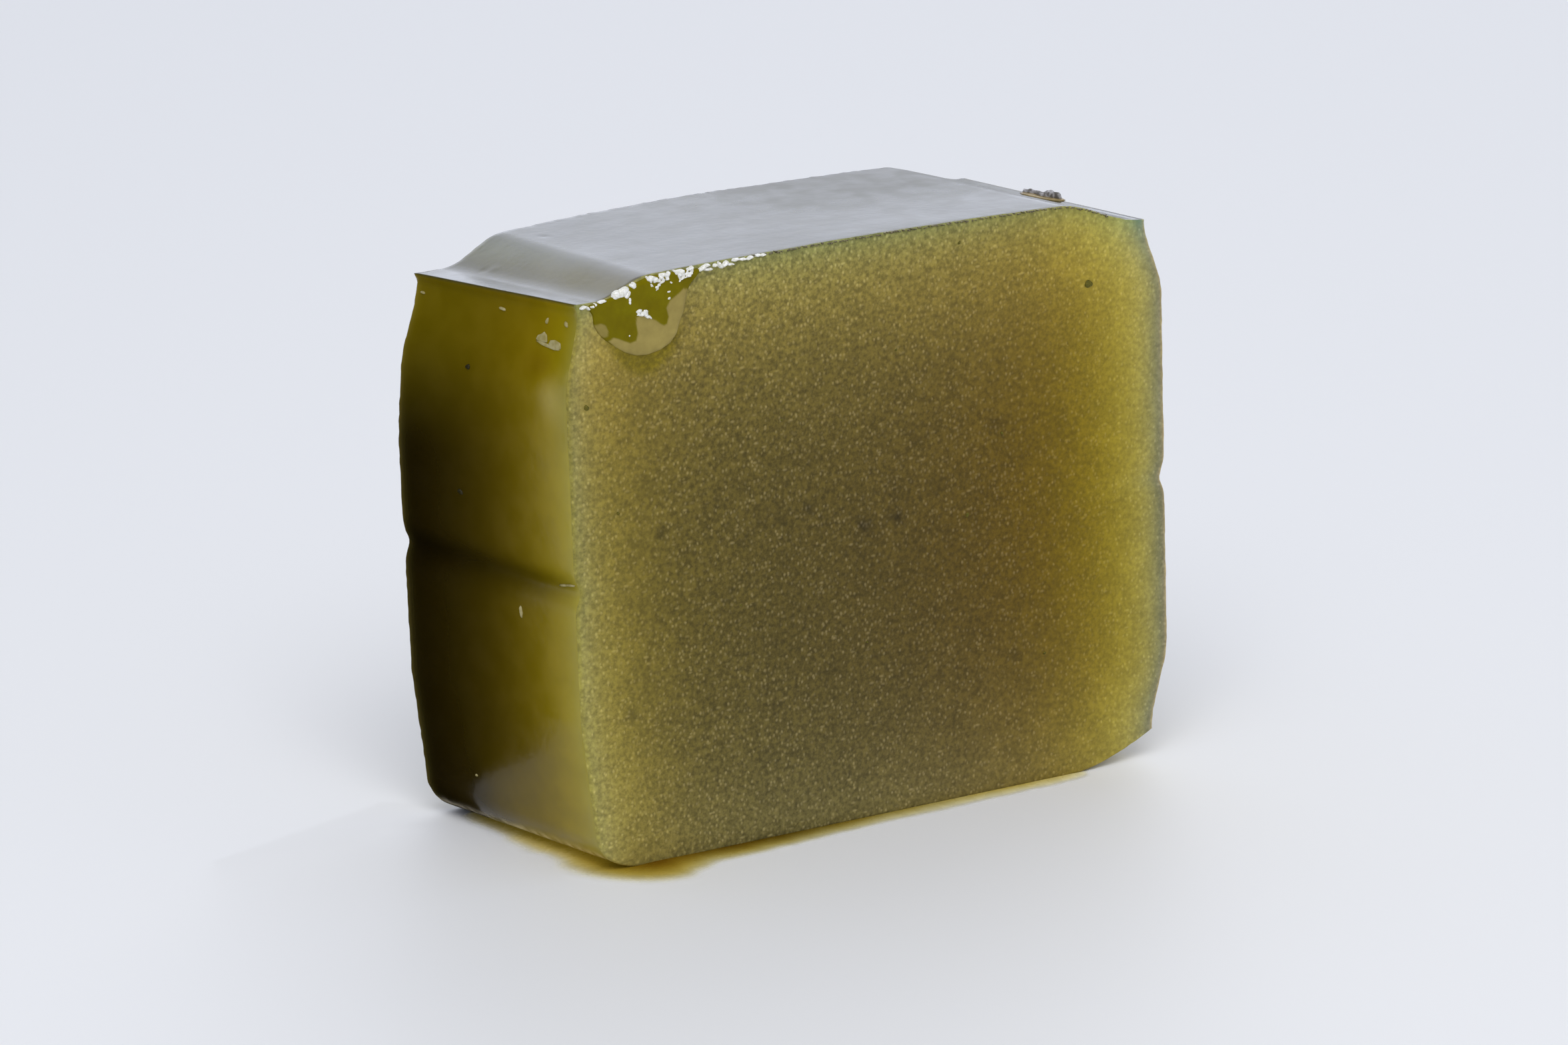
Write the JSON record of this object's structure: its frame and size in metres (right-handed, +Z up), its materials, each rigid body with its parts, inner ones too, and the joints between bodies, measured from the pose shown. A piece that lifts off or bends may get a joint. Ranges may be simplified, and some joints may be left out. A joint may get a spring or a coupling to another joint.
{
  "type": "yokan slice",
  "caption": "Thick slice of yokan, a firm sweet bean jelly: upright grainy knife-cut faces, glossy moulded sides with a mid-height crease, pinched lips and a flat underside.",
  "frame": {"origin": "middle of the underside of the slice's outline box", "axes": "+Z up, -Y out of the front knife-cut face, +X to the right as that face is looked at"},
  "size_m": [0.0534, 0.0176, 0.0421],
  "materials": {
    "bean_jelly": "moist and softly glossy where moulded, fine-grained where cut"
  },
  "bodies": {
    "root": {"yokan_slice": "bean_jelly"}
  },
  "joints": []
}
